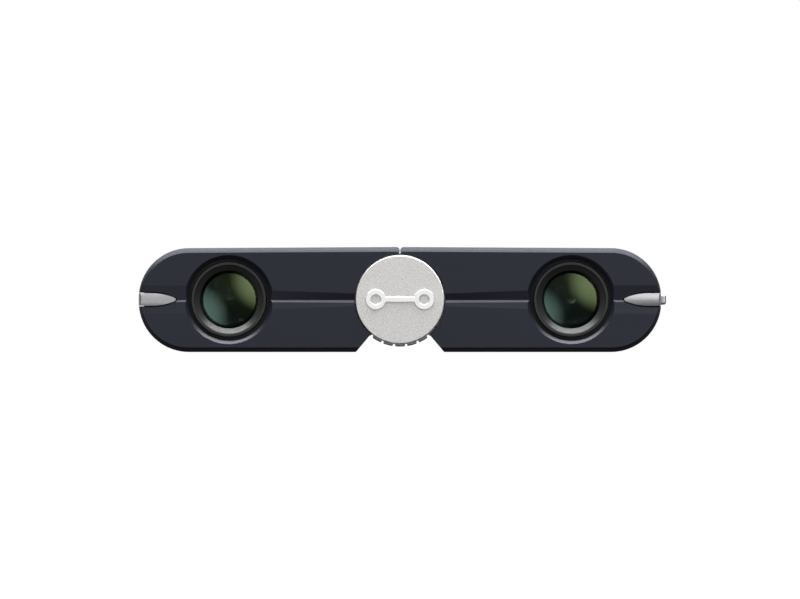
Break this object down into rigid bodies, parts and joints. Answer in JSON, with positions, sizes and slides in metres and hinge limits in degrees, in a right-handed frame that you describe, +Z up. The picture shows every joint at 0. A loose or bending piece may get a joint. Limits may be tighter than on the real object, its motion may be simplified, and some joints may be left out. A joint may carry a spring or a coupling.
{
  "type": "folding compact binoculars",
  "caption": "Slim pocket binoculars in navy aluminium, with a central folding hinge, focus wheel and dioptre ring.",
  "frame": {"origin": "on the plane that the two lower covers rest on, under the hinge axis, halfway along the overall length", "axes": "+Z up, +X towards the half with the strap bar, +Y from the objectives towards the eyepieces"},
  "size_m": [0.094, 0.054, 0.0189],
  "materials": {
    "navy_cover": "satin navy anodised",
    "silver_cap": "fine blasted, clear anodised",
    "grey_wheel": "satin grey anodised",
    "black_metal": "satin black anodised",
    "black_frame": "glass-filled, matt black",
    "bright_trim": "satin chrome",
    "steel": "ground",
    "brass": "turned",
    "washer": "acetal, natural",
    "rubber": "soft matt",
    "coated_glass": "polished, green coating",
    "prism_glass": "polished"
  },
  "bodies": {
    "left_half": {"left_upper_cover": "navy_cover", "left_lower_cover": "navy_cover", "left_frame": "black_frame", "left_guide_rod": "steel", "left_prism_holder": "black_frame", "left_step_prism": "prism_glass", "left_roof_prism": "prism_glass", "left_eyepiece_tube": "black_metal", "left_side_trim": "bright_trim", "left_cover_screws": "steel", "left_eyepiece_cell": "black_metal", "left_field_lens": "coated_glass", "left_field_stop": "black_metal", "left_eye_lens": "coated_glass", "left_eyecup": "rubber", "left_eyepiece_collar": "black_metal", "hinge_shaft": "steel", "hinge_front_cap": "silver_cap", "front_emblem": "silver_cap", "hinge_washers": "washer", "hinge_rear_cap": "black_metal"},
    "right_half": {"right_upper_cover": "navy_cover", "right_lower_cover": "navy_cover", "right_frame": "black_frame", "right_guide_rod": "steel", "right_prism_holder": "black_frame", "right_step_prism": "prism_glass", "right_roof_prism": "prism_glass", "right_eyepiece_tube": "black_metal", "right_side_trim": "bright_trim", "right_cover_screws": "steel", "strap_bar": "bright_trim", "strap_pocket_liner": "black_frame", "top_badge": "navy_cover"},
    "focus_wheel": {"focus_wheel": "grey_wheel", "focus_lead_screw": "brass"},
    "focus_nut": {"focus_nut": "brass"},
    "left_objective": {"left_focus_arm": "black_metal", "left_objective_tube": "black_metal", "left_objective_bezel": "black_metal", "left_objective_crown_lens": "coated_glass", "left_objective_flint_lens": "coated_glass"},
    "right_objective": {"right_focus_arm": "black_metal", "right_objective_tube": "black_metal", "right_objective_bezel": "black_metal", "right_objective_crown_lens": "coated_glass", "right_objective_flint_lens": "coated_glass"},
    "dioptre_ring": {"dioptre_ring": "black_metal"},
    "right_eyepiece": {"right_eyepiece_cell": "black_metal", "right_field_lens": "coated_glass", "right_field_stop": "black_metal", "right_eye_lens": "coated_glass", "right_eyecup": "rubber"}
  },
  "joints": [
    {"name": "fold", "type": "hinge", "parent": "left_half", "child": "right_half", "pos_m": [0, 0, 0.00935], "axis": [0, 1, 0], "range_deg": [0, 78]},
    {"name": "nut_travel", "type": "slide", "parent": "left_half", "child": "focus_nut", "axis": [0, 1, 0], "range_m": [-0.0008, 0.0008]},
    {"name": "focus_turn", "type": "hinge", "parent": "left_half", "child": "focus_wheel", "pos_m": [0, -0.0188, 0.00935], "axis": [0, 1, 0], "range_deg": [-120, 120]},
    {"name": "left_objective_travel", "type": "slide", "parent": "left_half", "child": "left_objective", "axis": [0, 1, 0], "range_m": [-0.0008, 0.0008]},
    {"name": "right_objective_travel", "type": "slide", "parent": "right_half", "child": "right_objective", "axis": [0, 1, 0], "range_m": [-0.0008, 0.0008]},
    {"name": "right_eyepiece_travel", "type": "slide", "parent": "right_half", "child": "right_eyepiece", "axis": [0, 1, 0], "range_m": [-0.000333, 0.000333]},
    {"name": "dioptre_turn", "type": "hinge", "parent": "right_half", "child": "dioptre_ring", "pos_m": [0.036, 0.0206, 0.00935], "axis": [0, 1, 0], "range_deg": [-60, 60]}
  ],
  "couplings": [
    {"joint": "focus_turn", "follows": "nut_travel", "rad_per_m": 2591.8},
    {"joint": "left_objective_travel", "follows": "nut_travel", "ratio": 1},
    {"joint": "right_objective_travel", "follows": "nut_travel", "ratio": 1},
    {"joint": "dioptre_turn", "follows": "right_eyepiece_travel", "rad_per_m": 3113.3}
  ]
}
